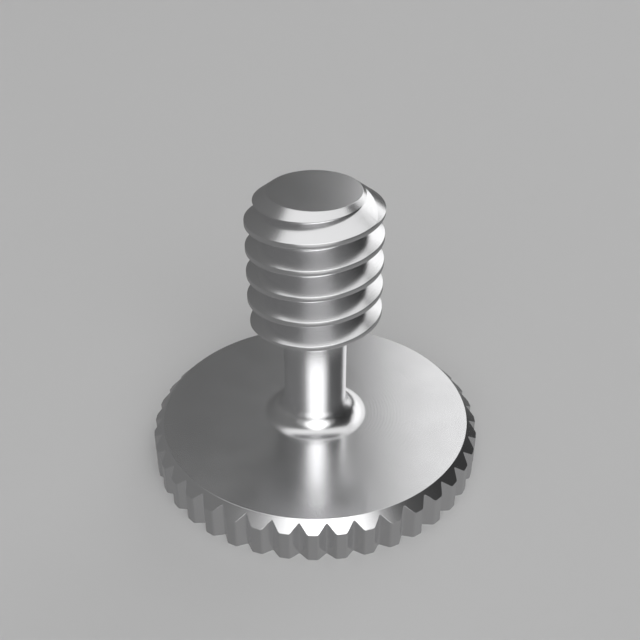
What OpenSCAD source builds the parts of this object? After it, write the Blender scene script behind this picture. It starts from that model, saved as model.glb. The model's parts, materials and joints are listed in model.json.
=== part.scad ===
// Tripod screw: a captive camera screw turned from one piece of steel.
// It stands on its knurled head with the thread pointing up.
// The origin is the centre of the head's underside.

/* [Head] */
// Diameter over the lands of the notched rim
head_d = 16; // [12:0.5:24]
// Thickness of the head
head_h = 2; // [1.5:0.1:5]
// Chamfer on the head's upper edge, measured along each face
head_chamfer = 0.5; // [0.1:0.05:1]
// Number of V notches round the rim
notch_count = 40; // [12:1:48]
// Depth of a notch below the lands
notch_depth = 0.38; // [0.1:0.01:0.5]
// Included angle of a notch
notch_angle = 94; // [60:1:110]

/* [Neck] */
// Diameter of the plain neck
neck_d = 3; // [2:0.1:3.8]
// Length of the neck, from the head to the thread's shoulder
neck_len = 5.75; // [3:0.05:12]
// Fillet between the head and the neck
head_fillet = 1; // [0.2:0.05:1.2]
// Fillet between the neck and the thread's shoulder
shoulder_fillet = 1.15; // [0.2:0.05:1.2]

/* [Thread] */
// Diameter over the thread's crests
thread_d = 6.22; // [5.5:0.01:10]
// Pitch of the thread
pitch = 1.27; // [1:0.01:1.5]
// Width of the flat on each crest
crest_w = 0.22; // [0.1:0.01:0.3]
// Radius of the round bottom of the thread's groove
root_round = 0.08; // [0.05:0.01:0.2]
// Length of the threaded end, from the shoulder to the point
thread_len = 6.3; // [4:0.05:12]
// Direction in which the crest line reaches the height of the point
thread_start = 215; // [0:1:359]

/* [Point] */
// Diameter of the flat end face
point_d = 4.2; // [3:0.1:4.6]
// Height of the point's chamfer
point_h = 0.78; // [0.3:0.01:1.2]

/* [Hidden] */

$fn = 96;
steel = [0.60, 0.60, 0.61];
head_r = head_d / 2;
neck_r = neck_d / 2;
thread_r = thread_d / 2;
shoulder_z = head_h + neck_len;
top_z = shoulder_z + thread_len;

// The groove between two turns has flanks 60 degrees apart that meet in a round root
flank = 30;
mouth_half_w = (pitch - crest_w) / 2;
flank_depth = (mouth_half_w - root_round * cos(flank)) / tan(flank);
root_centre_r = thread_r - flank_depth + root_round * sin(flank);
root_steps = 4;
// The section runs a little way out into the air past the crests
lip = crest_w / 4;
lip_half_w = mouth_half_w + lip * tan(flank);
turn_steps = 40;
groove_turns = thread_len / pitch + 2;
groove_steps = ceil(groove_turns * turn_steps);
groove_from = thread_start - 360 * (groove_turns - 1);

// Height of the middle of the groove in direction a
function groove_z(a) = top_z + pitch * ((a - thread_start) / 360 + 0.5);

// Section of the groove as radius and height, from its upper to its lower lip
groove_section = [
    [thread_r + lip, lip_half_w],
    for (i = [0 : root_steps])
        let (t = (90 - flank) * (1 - 2 * i / root_steps))
        [root_centre_r - root_round * cos(t), root_round * sin(t)],
    [thread_r + lip, -lip_half_w]
];

// Half section of the bar as turned, with square corners where the fillets go
module turned_section() {
    polygon([
        [0, 0], [head_r, 0], [head_r, head_h - head_chamfer], [head_r - head_chamfer, head_h],
        [neck_r + head_fillet, head_h],
        [neck_r + head_fillet, head_h + head_fillet],
        [neck_r, head_h + head_fillet],
        [neck_r, shoulder_z - shoulder_fillet],
        [neck_r + shoulder_fillet, shoulder_z - shoulder_fillet],
        [neck_r + shoulder_fillet, shoulder_z],
        [thread_r, shoulder_z], [thread_r, top_z - point_h], [point_d / 2, top_z], [0, top_z]
    ]);
}

// Head, neck and plain threaded end in one revolve
module turned_blank() {
    rotate_extrude()
        difference() {
            turned_section();
            translate([neck_r + head_fillet, head_h + head_fillet])
                circle(head_fillet);
            translate([neck_r + shoulder_fillet, shoulder_z - shoulder_fillet])
                circle(shoulder_fillet);
        }
}

// One V notch down the full height of the rim
module notch() {
    reach = 2 * notch_depth;
    half_mouth = reach * tan(notch_angle / 2);
    translate([head_r - notch_depth, 0, -head_h])
        linear_extrude(3 * head_h)
            polygon([[0, 0], [reach, -half_mouth], [reach, half_mouth]]);
}

// The helical groove, swept section by section and run out past both ends of the thread
module thread_groove() {
    n = len(groove_section);
    points = [
        for (s = [0 : groove_steps])
            let (a = groove_from + 360 * s / turn_steps)
            for (p = groove_section)
                [p.x * cos(a), p.x * sin(a), p.y + groove_z(a)]
    ];
    sides = [
        for (s = [0 : groove_steps - 1], i = [0 : n - 1])
            let (b = s * n, j = (i + 1) % n)
            each [[b + i, b + n + j, b + n + i], [b + i, b + j, b + n + j]]
    ];
    start_cap = [for (i = [n - 1 : -1 : 0]) i];
    end_cap = [for (i = [0 : n - 1]) groove_steps * n + i];
    polyhedron(points, concat([start_cap], sides, [end_cap]));
}

module tripod_screw() {
    color(steel)
        difference() {
            turned_blank();
            for (k = [0 : notch_count - 1])
                rotate(k * 360 / notch_count)
                    notch();
            thread_groove();
        }
}

tripod_screw();
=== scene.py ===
# %% [markdown]
# # A tripod screw in turned stainless steel
# A tripod screw holds a camera on a plate. It is one piece of bar, shaped on a lathe: a thin head
# with V notches for the fingers, a plain neck that keeps it captive in the plate, and a short
# camera thread with a chamfered point. This lesson loads the screw's solid model as a fixed
# frame, builds a finer skin over it in mesh code, and gives the skin a turned steel finish.

# %% Load the solid model
import json
import math

import bmesh
import bpy
import numpy as np
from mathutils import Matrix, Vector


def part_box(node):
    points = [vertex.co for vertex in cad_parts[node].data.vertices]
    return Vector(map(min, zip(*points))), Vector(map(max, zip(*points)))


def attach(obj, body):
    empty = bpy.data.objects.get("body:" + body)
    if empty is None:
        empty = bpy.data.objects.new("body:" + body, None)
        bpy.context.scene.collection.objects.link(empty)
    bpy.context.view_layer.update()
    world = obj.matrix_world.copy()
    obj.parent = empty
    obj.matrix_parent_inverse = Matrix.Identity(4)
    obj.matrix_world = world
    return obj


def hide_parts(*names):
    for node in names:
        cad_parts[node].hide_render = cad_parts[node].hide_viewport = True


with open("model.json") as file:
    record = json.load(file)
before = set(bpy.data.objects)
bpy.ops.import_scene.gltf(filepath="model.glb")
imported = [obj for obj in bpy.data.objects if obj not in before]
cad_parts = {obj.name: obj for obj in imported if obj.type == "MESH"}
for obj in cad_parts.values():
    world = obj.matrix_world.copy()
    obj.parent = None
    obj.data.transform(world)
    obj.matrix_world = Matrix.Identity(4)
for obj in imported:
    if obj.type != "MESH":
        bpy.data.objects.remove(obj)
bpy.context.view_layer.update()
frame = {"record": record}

# %% [markdown]
# ## Sizes
# The skin has to lie on the solid, so its main sizes come from the frame: the height from the
# solid's box, and the radii of the thread and the neck from the mounts in the record. The turner's
# other dimensions are written in millimetres where they are first needed. Blender works in
# metres, so each of them is multiplied by MM.

# %% Sizes from the frame
MM = 0.001
mount_sizes = {mount["name"]: mount["dims"] for mount in frame["record"]["mounts"]}
top_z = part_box("tripod_screw")[1][2]
thread_r = mount_sizes["threaded_end"]["r_mm"] * MM
neck_r = mount_sizes["captive_neck"]["r_mm"] * MM
print(f"height {top_z / MM:.2f} mm, thread radius {thread_r / MM:.2f} mm, neck radius {neck_r / MM:.2f} mm")

# %% [markdown]
# ## Directions round the axis
# A screw is nearly a turned shape, so the skin is made of half sections side by side, one for
# each direction round the axis. A Spin or a Screw modifier would need the same section everywhere.
# Here the sections differ: in the rim some lie in a notch, and along the thread each stands a
# little higher than the one before. The directions are picked so that every notch has its own
# bottom, walls and lips, with a small flat where the real edge has lost its burr.

# %% Directions of the sections
head_r = 8.0 * MM
notch_count = 40
notch_depth = 0.38 * MM
notch_half_angle = math.radians(47)
notch_step = 2 * math.pi / notch_count
tip_r = head_r - notch_depth
lip_angle = notch_half_angle - math.asin(tip_r * math.sin(notch_half_angle) / head_r)
tip_flat = math.radians(0.2)
lip_flat = math.radians(0.25)
land_half = notch_step / 2 - lip_angle - lip_flat


def one_notch():
    """Directions over one notch and one land, from the notch's bottom onwards."""
    inner, outer = lip_angle - lip_flat, lip_angle + lip_flat
    wall = [tip_flat, (tip_flat + inner) / 2, inner]
    land = [outer + land_half * share for share in (0, 2 / 3, 4 / 3, 2)]
    far_wall = [notch_step - angle for angle in reversed(wall)]
    return wall + land + far_wall


directions = np.array([k * notch_step + angle for k in range(notch_count) for angle in one_notch()])
directions = np.append(directions, directions[0] + 2 * math.pi)
print(f"{len(directions) - 1} sections, {len(one_notch())} to a notch")
print(f"lips {math.degrees(lip_angle):.2f} degrees from the notch's middle")

# %% [markdown]
# ## The rim
# The notches are cut down the rim with a V-shaped tool, so their walls are flat. In each direction
# the rim stands at the lands' radius or at the wall of a notch, whichever is smaller. The wall is a
# straight line on the drawing, so its radius follows from the sine rule, and no boolean is needed.

# %% Radius of the rim in each direction
off_tip = np.abs((directions + notch_step / 2) % notch_step - notch_step / 2)
wall_angle = notch_half_angle - off_tip
rim_r = np.minimum(head_r, tip_r * math.sin(notch_half_angle) / np.sin(wall_angle))
print(f"rim radius from {rim_r.min() / MM:.3f} to {rim_r.max() / MM:.3f} mm")

# %% [markdown]
# ## Head, neck and fillets
# Rows run up the screw from the underside. Each row is a radius and a height, and either may
# differ between directions. A fillet is a quarter circle of rows. Sharp corners get two rows a
# hair apart: the small flat between them catches the light as a real edge does. A Bevel modifier
# could add such flats, but it would stumble where the notches run out through the chamfer.

# %% Helpers for rows
rows = []


def add_row(radius, height):
    """One row round the screw: a radius and a height for each direction."""
    rows.append((np.broadcast_to(radius, directions.shape), np.broadcast_to(height, directions.shape)))


def add_fillet(centre_r, centre_z, radius, from_angle, to_angle, largest_r=np.inf, steps=14):
    """Rows along an arc in the half section. Angles are in degrees, from straight out."""
    for angle in np.radians(np.linspace(from_angle, to_angle, steps + 1)):
        arc_r = centre_r + radius * math.cos(angle)
        add_row(np.minimum(arc_r, largest_r), centre_z + radius * math.sin(angle))


# %% Rows of the head
head_h = 2.0 * MM
head_chamfer = 0.5 * MM
edge_break = 0.005 * MM
seat_r = head_r - head_chamfer
chamfer_z = head_h - head_chamfer + (head_r - rim_r)
# A row inside the underside keeps its many-sided middle face away from the notches
underside_r = 0.9 * seat_r

add_row(underside_r, 0)
add_row(rim_r - edge_break, 0)
add_row(rim_r, edge_break)
add_row(rim_r, chamfer_z - edge_break)
add_row(rim_r - edge_break, chamfer_z + edge_break)
add_row(seat_r + edge_break, head_h - edge_break)
add_row(seat_r - edge_break, head_h)
print(f"{len(rows)} rows round the head, chamfer {head_chamfer / MM:.2f} mm")

# %% Rows of the neck
head_fillet = 1.0 * MM
shoulder_fillet = 1.15 * MM
thread_len = 6.3 * MM
shoulder_z = top_z - thread_len
support = 0.02 * MM

fillet_r = neck_r + head_fillet
add_row((seat_r + fillet_r) / 2, head_h)
add_row(fillet_r + support, head_h)
add_fillet(fillet_r, head_h + head_fillet, head_fillet, 270, 180)
add_row(neck_r, head_h + head_fillet + support)
add_row(neck_r, shoulder_z - shoulder_fillet - support)
print(f"{len(rows)} rows up to the end of the neck, {shoulder_z / MM:.2f} mm up at the shoulder")

# %% [markdown]
# ## The thread
# A camera thread has flanks 60 degrees apart, a narrow flat on each crest and a hardly rounded
# root. One turn of that outline is enough: in every direction the same outline is stacked a pitch
# apart, and it climbs by one pitch in a full turn, anticlockwise seen from above, which makes it
# right handed. Blender's Screw modifier would sweep it too, but it couldn't cut the ends off.

# %% Outline of one turn
pitch = 1.27 * MM
crest_w = 0.22 * MM
# The solid's root is rounder, since its facets are coarser. A sharp tool leaves this little.
root_round = 0.04 * MM
crest_round = 0.03 * MM
flank = math.radians(30)
root_steps = 8
corner_steps = 3

mouth_half = (pitch - crest_w) / 2
flank_depth = (mouth_half - root_round * math.cos(flank)) / math.tan(flank)
root_centre_r = thread_r - flank_depth + root_round * math.sin(flank)
corner_z = -crest_w / 2 + crest_round * math.tan((math.pi / 2 - flank) / 2)
corner_r = thread_r - crest_round


def arc(centre_z, centre_r, radius, turns):
    """Points of the outline on an arc, as heights and radii. A turn of 0 points straight out."""
    return [(centre_z + radius * math.sin(t), centre_r + radius * math.cos(t)) for t in turns]


root_turns = np.linspace(math.pi, math.pi / 2 + flank, root_steps + 1)
corner_turns = np.linspace(flank - math.pi / 2, 0, corner_steps + 1)
root_part = arc(-pitch / 2, root_centre_r, root_round, root_turns)
corner_part = arc(corner_z, corner_r, crest_round, corner_turns)
flank_start, flank_end = np.array(root_part[-1]), np.array(corner_part[0])
near_end = support / np.linalg.norm(flank_end - flank_start)
flank_part = [tuple(flank_start + share * (flank_end - flank_start)) for share in (near_end, 1 - near_end)]
lower_half = root_part + flank_part + corner_part
upper_half = [(-z, r) for z, r in reversed(lower_half)]
turn_z, turn_r = np.array(lower_half + upper_half[:-1]).T
print(f"{len(turn_z)} points to a turn, root radius {turn_r.min() / MM:.3f} mm")

# %% [markdown]
# ## Cutting the thread's ends
# The thread starts at a flat shoulder and runs out through the chamfer of the point. Both cuts
# could be booleans, but here they are simple enough to work out row by row. What lies below the
# shoulder is gathered on the shoulder. What lies outside the chamfer's cone is pulled back onto
# it, with one more row wherever a flank passes through the cone, so the edge stays crisp.

# %% Rows of the thread
thread_start = math.radians(215)
point_r = 2.1 * MM
point_h = 0.78 * MM
cone_slope = (thread_r - point_r) / point_h
crest_height = top_z + pitch * (directions - thread_start) / (2 * math.pi)


def thread_radius(height):
    """Radius of the uncut thread at a height in each direction."""
    off_crest = (height - crest_height + pitch / 2) % pitch - pitch / 2
    return np.interp(off_crest, turn_z, turn_r, period=pitch)


def cone_radius(height):
    """Radius of the point's chamfer at a height."""
    return point_r + (top_z - height) * cone_slope


turns = math.ceil(thread_len / pitch) + 2
thread_rows = [
    (crest_height - k * pitch + z, r) for k in range(turns, -2, -1) for z, r in zip(turn_z, turn_r)
]
cut_rows = []
for (z, r), (next_z, next_r) in zip(thread_rows[:-1], thread_rows[1:]):
    past = r - cone_radius(z)
    next_past = next_r - cone_radius(next_z)
    crossing = past * next_past < 0
    share = np.where(crossing, past / np.where(crossing, past - next_past, 1), 0)
    cut_rows.append((z, np.full_like(z, r)))
    cut_rows.append((z + share * (next_z - z), r + share * (next_r - r)))
print(f"{turns} turns considered, {len(cut_rows)} rows before the ends are gathered")

# %% [markdown]
# ## From rows to a grid
# The fillet under the thread runs into the groove where the groove leaves the shoulder, so its
# rows never stand out past the thread's foot. After the last row a flat end face closes the top.
# Rows and directions together give a grid of points, as on a graph sheet wrapped round the screw.

# %% All rows in one grid
foot_r = thread_radius(shoulder_z)
end_face_r = 0.5 * point_r
add_fillet(neck_r + shoulder_fillet, shoulder_z - shoulder_fillet, shoulder_fillet, 180, 90, foot_r)
add_row(foot_r, shoulder_z)
for z, r in cut_rows:
    held_z = np.clip(z, shoulder_z, top_z - edge_break / cone_slope)
    held_r = np.where(z <= shoulder_z, foot_r, np.minimum(r, cone_radius(held_z)))
    add_row(held_r, held_z)
add_row(point_r - edge_break, top_z)
add_row(end_face_r, top_z)

grid_r = np.array([row[0] for row in rows])
grid_z = np.array([row[1] for row in rows])
grid = np.stack([grid_r * np.cos(directions), grid_r * np.sin(directions), grid_z], axis=-1)
print(f"grid of {grid.shape[0]} rows by {grid.shape[1]} sections")

# %% [markdown]
# ## The skin
# Quads join each row to the next. Rows that were gathered lie on top of each other, so welding
# the points that coincide removes the empty faces, closes the seam and leaves one watertight
# skin. Shade Auto Smooth would then sort smooth edges from sharp ones by one angle. The edges on
# the point's cone turn by very little and still have to look sharp, so here the angle is chosen
# edge by edge.

# %% Build the mesh
row_count, column_count = grid.shape[:2]
corner = np.arange(row_count * column_count).reshape(row_count, column_count)
quads = np.stack([corner[:-1, :-1], corner[:-1, 1:], corner[1:, 1:], corner[1:, :-1]], axis=-1)
underside = corner[0, :-1][::-1].tolist()
end_face = corner[-1, :-1].tolist()

skin = bpy.data.meshes.new("tripod_screw_body")
skin.from_pydata(grid.reshape(-1, 3).tolist(), [], quads.reshape(-1, 4).tolist() + [underside, end_face])

WELD = 1e-4 * MM
tidy = bmesh.new()
tidy.from_mesh(skin)
bmesh.ops.remove_doubles(tidy, verts=tidy.verts, dist=WELD)
bmesh.ops.dissolve_degenerate(tidy, edges=tidy.edges, dist=WELD)
bmesh.ops.recalc_face_normals(tidy, faces=tidy.faces)
open_edges = sum(not edge.is_manifold for edge in tidy.edges)
print(f"{len(tidy.faces)} faces, {open_edges} open edges")

# %% Mark the sharp edges
sharp_angle = math.radians(15)
cone_sharp_angle = math.radians(4)
for face in tidy.faces:
    face.smooth = True
for edge in tidy.edges:
    on_cone = all(abs(v.co.xy.length - cone_radius(v.co.z)) < WELD for v in edge.verts)
    edge.smooth = edge.calc_face_angle(0) < (cone_sharp_angle if on_cone else sharp_angle)
print(f"{sum(not edge.smooth for edge in tidy.edges)} sharp edges")
tidy.to_mesh(skin)
tidy.free()

# %% [markdown]
# ## In place of the solid
# The skin moves with the screw's only body and stands for its only solid, which is hidden.

# %% Put the skin in place
screw = bpy.data.objects.new("tripod_screw_body", skin)
bpy.context.collection.objects.link(screw)
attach(screw, "root")
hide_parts("tripod_screw")
print(f"{screw.name}: {' x '.join(f'{side / MM:.2f}' for side in screw.dimensions)} mm")

# %% [markdown]
# ## Helpers for materials
# Colours are written as the hex values of a colour picker, which are sRGB. Shader sockets want
# linear values, so one function turns them. A second one adds a node, sets it and links it, which
# keeps each material down to a few readable lines.

# %% Colours and nodes


def srgb(hex_code):
    """An sRGB hex colour as linear RGBA."""
    parts = [int(hex_code[i:i + 2], 16) / 255 for i in (1, 3, 5)]
    linear = [c / 12.92 if c <= 0.04045 else ((c + 0.055) / 1.055) ** 2.4 for c in parts]
    return (*linear, 1.0)


def add_node(tree, kind, settings=None, links=None):
    """Adds a node, sets its properties or sockets, and links sockets to earlier outputs."""
    node = tree.nodes.new(kind)
    for name, value in (settings or {}).items():
        if isinstance(name, str) and hasattr(node, name):
            setattr(node, name, value)
        else:
            node.inputs[name].default_value = value
    for name, source in (links or {}).items():
        tree.links.new(source, node.inputs[name])
    return node


print("mid grey in linear:", [round(c, 3) for c in srgb("#808080")])

# %% [markdown]
# ## Turned stainless steel
# Screws like this are cut from free-machining stainless bar and left as they come off the lathe.
# The eye gets a neutral, pale metal whose reflections have soft edges. Close to, it finds the
# tool's rings round the axis and patches that came out a shade duller. A picture of brushed metal
# would do from afar, but it would stretch over the fillets. Here the pattern is worked out from
# the place on the screw instead: radius less height runs on evenly over flat faces, cylinders and
# chamfers alike, so a sine wave of it gives rings everywhere, as the tool does.

# %% Rings from the tool
steel = bpy.data.materials.new("turned_stainless_steel")
steel.use_nodes = True
tree = steel.node_tree
tree.nodes.clear()

# A fine cut feeds about 0.06 mm a turn, too fine to show here, so the rings are drawn coarser
feed = 0.16 * MM
ring_slope = 0.003
ring_height = ring_slope * feed / (2 * math.pi)

place = add_node(tree, "ShaderNodeTexCoord")
height = add_node(tree, "ShaderNodeSeparateXYZ", {}, {"Vector": place.outputs["Object"]})
level_place = add_node(tree, "ShaderNodeVectorMath", {
    "operation": "MULTIPLY", 1: (1, 1, 0)}, {0: place.outputs["Object"]})
radius = add_node(tree, "ShaderNodeVectorMath", {"operation": "LENGTH"}, {0: level_place.outputs["Vector"]})
path = add_node(tree, "ShaderNodeMath", {"operation": "SUBTRACT"}, {
    0: radius.outputs["Value"], 1: height.outputs["Z"]})
phase = add_node(tree, "ShaderNodeMath", {"operation": "MULTIPLY", 1: 2 * math.pi / feed}, {
    0: path.outputs["Value"]})
ring = add_node(tree, "ShaderNodeMath", {"operation": "SINE"}, {0: phase.outputs["Value"]})
rings = add_node(tree, "ShaderNodeBump", {"Strength": 1.0, "Distance": ring_height}, {
    "Height": ring.outputs["Value"]})
print(f"rings every {feed / MM:.2f} mm, {ring_height / MM * 1000:.2f} micrometres high")

# %% [markdown]
# The duller patches come from a noise texture a millimetre or two across. It moves the roughness a
# little about 0.23, typical of a clean fine cut, and the colour by a hair. A metal's colour is the
# share of light that it mirrors. Metallic is 1, and the index of refraction keeps its default.

# %% Patches and the finished steel
patch_size = 1.5 * MM
bright_roughness, dull_roughness = 0.215, 0.245
patches = add_node(tree, "ShaderNodeTexNoise", {"Scale": 1 / patch_size, "Detail": 3.0}, {
    "Vector": place.outputs["Object"]})
dullness = add_node(tree, "ShaderNodeMapRange", {
    "From Min": 0.3, "From Max": 0.7, "To Min": bright_roughness, "To Max": dull_roughness}, {
    "Value": patches.outputs["Fac"]})
tint = add_node(tree, "ShaderNodeMix", {
    "data_type": "RGBA", 6: srgb("#E9E9EA"), 7: srgb("#E5E5E6")}, {0: patches.outputs["Fac"]})
finish = add_node(tree, "ShaderNodeBsdfPrincipled", {"Metallic": 1.0}, {
    "Base Color": tint.outputs[2],
    "Roughness": dullness.outputs["Result"],
    "Normal": rings.outputs["Normal"]})
add_node(tree, "ShaderNodeOutputMaterial", {}, {"Surface": finish.outputs["BSDF"]})
skin.materials.append(steel)
print(f"{steel.name}: {len(tree.nodes)} nodes")

# %% [markdown]
# ## Sheet under the screw
# The screw stands on a sheet of matt paper that sweeps up into a round wall behind the lamps, so
# no edge of it shows in a low view. A plane would end in a hard line there. A chain of points
# along the sheet's section is spun round the axis. A bright sheet close under bare metal would
# drown its shape, since rim, crests and neck would all mirror the same pale tone. A photographer
# would stand the screw on clear glass, above a dimmer ground. Here the sheet is hidden from glossy
# rays and throws no shadow of its own, so the metal mirrors the room's ground further below, and
# the sheet still takes the screw's shadow.

# %% Sheet of paper
flat_r = 0.65
sweep_r = 0.4
wall_h = 0.8
sweep_steps = 12
round_steps = 96
# A point just before the sweep keeps the shading of the flat part flat
before_sweep_r = 0.98 * flat_r

sweep_turns = np.linspace(0, math.pi / 2, sweep_steps + 1)
section = [(0, 0), (before_sweep_r, 0)]
section += [(flat_r + sweep_r * math.sin(t), sweep_r * (1 - math.cos(t))) for t in sweep_turns]
section += [(flat_r + sweep_r, wall_h)]

roll = bmesh.new()
points = [roll.verts.new((r, 0, z)) for r, z in section]
lines = [roll.edges.new(pair) for pair in zip(points[:-1], points[1:])]
bmesh.ops.spin(
    roll, geom=points + lines, cent=(0, 0, 0), axis=(0, 0, 1), angle=2 * math.pi, steps=round_steps,
    use_merge=True)
bmesh.ops.remove_doubles(roll, verts=roll.verts, dist=MM)
bmesh.ops.recalc_face_normals(roll, faces=roll.faces)
for face in roll.faces:
    face.smooth = True
sheet_mesh = bpy.data.meshes.new("floor")
roll.to_mesh(sheet_mesh)
roll.free()
sheet = bpy.data.objects.new("floor", sheet_mesh)
bpy.context.collection.objects.link(sheet)
sheet.visible_glossy = False
sheet.visible_shadow = False
print(f"sheet flat to {flat_r} m, wall {wall_h} m high, {len(sheet_mesh.polygons)} faces")

# %% Matt paper
# Uncoated paper is matt: it scatters nearly all light and has only a trace of gloss
paper = bpy.data.materials.new("matt_paper")
paper.use_nodes = True
tree = paper.node_tree
tree.nodes.clear()
matt = add_node(tree, "ShaderNodeBsdfPrincipled", {
    "Base Color": srgb("#C8C8C8"), "Roughness": 0.9, "Specular IOR Level": 0.2})
add_node(tree, "ShaderNodeOutputMaterial", {}, {"Surface": matt.outputs["BSDF"]})
sheet_mesh.materials.append(paper)
print(f"{paper.name}: {len(tree.nodes)} nodes")

# %% [markdown]
# ## Camera
# The camera looks down on the screw from about five centimetres away, a little left of the notch
# that faces the front. So near, the end face looks large beside the head, and no longer lens from
# further off could give that. Place, tilt and focal length follow from the outlines of the head
# and the end face in a square frame of 640 pixels. Depth of field stays off.

# %% Camera
camera_away = 36.3 * MM
camera_up = 30.94 * MM
camera_turn = math.radians(-3.614)
camera_down = math.radians(32.975)
camera_pan = math.radians(0.371)
focal_px = 923.5
frame_px = 640

camera_data = bpy.data.cameras.new("camera")
camera_data.sensor_width = 36
camera_data.lens = focal_px / frame_px * camera_data.sensor_width
camera_data.clip_start = 1 * MM
camera = bpy.data.objects.new("camera", camera_data)
camera.location = (camera_away * math.sin(camera_turn), -camera_away * math.cos(camera_turn), camera_up)
camera.rotation_euler = (math.pi / 2 - camera_down, 0, camera_turn - camera_pan)
bpy.context.collection.objects.link(camera)
bpy.context.scene.camera = camera
print(f"lens {camera_data.lens:.1f} mm, {math.hypot(camera_away, camera_up) / MM:.0f} mm from the origin")

# %% [markdown]
# ## Light
# Bare metal shows the lamps and the room more than itself, so the lamps are large softboxes, and
# each is there for the faces that mirror it. The front one makes the streak down the neck and the
# bright part of the chamfer. A real softbox is brightest in its middle, so this one is three lamps
# in one place, which add up. The back one fades across the head's upper face, because its left
# edge lies where that face looks. The strip and the side one carry it on to the right, for the
# right ends of the thread's flanks. The top one whitens the flanks in front. A dim card in front,
# mostly below the sheet, stands for the light that a sheet throws back into the grooves. A lamp is
# given by how bright it looks, from which its watts follow: brightness times pi times area. In a
# reflection only angles count, so sizes and places are written for a distance of one and scaled.

# %% Softboxes
lamp_distance = 0.8


def add_softbox(name, shape, size, radiance, azimuth, up, away=1.0, tilt=90, roll=0):
    """A flat lamp, out of the picture. Azimuth runs from front to right, and tilt 90 is upright."""
    lamp = bpy.data.lights.new(name, "AREA")
    lamp.shape = shape
    lamp.size, lamp.size_y = size[0] * lamp_distance, size[1] * lamp_distance
    area = lamp.size * lamp.size_y * (math.pi / 4 if shape == "ELLIPSE" else 1)
    lamp.energy = radiance * math.pi * area
    softbox = bpy.data.objects.new(name, lamp)
    turn = math.radians(azimuth)
    centre = np.array([away * math.sin(turn), -away * math.cos(turn), up])
    softbox.location = centre * lamp_distance
    softbox.rotation_euler = (math.radians(tilt), math.radians(roll), turn)
    softbox.visible_camera = False
    bpy.context.collection.objects.link(softbox)
    print(f"{name}: {lamp.size:.2f} x {lamp.size_y:.2f} m, {lamp.energy:.2f} W")


add_softbox("front_softbox", "ELLIPSE", (1.75, 1.40), 0.95, azimuth=2, up=0.70)
add_softbox("front_centre", "ELLIPSE", (1.05, 1.25), 0.80, azimuth=3, up=0.70)
add_softbox("front_glow", "ELLIPSE", (3.60, 1.40), 0.20, azimuth=-2, up=0.70)
add_softbox("front_card", "ELLIPSE", (1.50, 0.60), 0.60, azimuth=0, up=-0.25)
add_softbox("back_softbox", "RECTANGLE", (0.75, 1.00), 0.94, azimuth=151, up=0.68, roll=-5)
add_softbox("back_strip", "RECTANGLE", (0.42, 1.00), 0.28, azimuth=143, up=0.66, roll=-5)
add_softbox("side_softbox", "RECTANGLE", (0.22, 0.80), 0.82, azimuth=124.5, up=0.80, roll=-5)
add_softbox("top_softbox", "ELLIPSE", (1.50, 1.50), 0.85, azimuth=90, up=1.0, away=0.07, tilt=0)

# %% [markdown]
# ## Room
# Between the lamps the metal mirrors the room. Its walls are dim and darken from left to right,
# which sets off the facets on the right of the rim. Its ground is paler. A sky picture could give
# all that, but three ramps are enough: in a world shader the Generated coordinate is the direction
# of view, so X tells left from right, and Z tells the walls from the ground.

# %% Walls and ground
wall_left, wall_right = 0.19, 0.03
ground_left, ground_right = 0.19, 0.29
ground_from, ground_full = -0.1, -0.6

room = bpy.data.worlds.new("studio_room")
bpy.context.scene.world = room
room.use_nodes = True
tree = room.node_tree
tree.nodes.clear()

direction = add_node(tree, "ShaderNodeTexCoord")
axes = add_node(tree, "ShaderNodeSeparateXYZ", {}, {"Vector": direction.outputs["Generated"]})
wall_level = add_node(tree, "ShaderNodeMapRange", {
    "From Min": -1.0, "From Max": 1.0, "To Min": wall_left, "To Max": wall_right}, {
    "Value": axes.outputs["X"]})
ground_level = add_node(tree, "ShaderNodeMapRange", {
    "From Min": -1.0, "From Max": 1.0, "To Min": ground_left, "To Max": ground_right}, {
    "Value": axes.outputs["X"]})
below = add_node(tree, "ShaderNodeMapRange", {
    "From Min": ground_from, "From Max": ground_full, "To Min": 0.0, "To Max": 1.0}, {
    "Value": axes.outputs["Z"]})
level = add_node(tree, "ShaderNodeMix", {}, {
    0: below.outputs["Result"], 2: wall_level.outputs["Result"], 3: ground_level.outputs["Result"]})
glow = add_node(tree, "ShaderNodeBackground", {"Color": srgb("#FFFFFF")}, {"Strength": level.outputs[0]})
add_node(tree, "ShaderNodeOutputWorld", {}, {"Surface": glow.outputs["Background"]})
print(f"{room.name}: {len(tree.nodes)} nodes")

# %% [markdown]
# ## Last settings
# The Standard view transform shows colours as they were written, where the default one would
# soften the highlights.

# %% View
bpy.context.scene.view_settings.view_transform = "Standard"
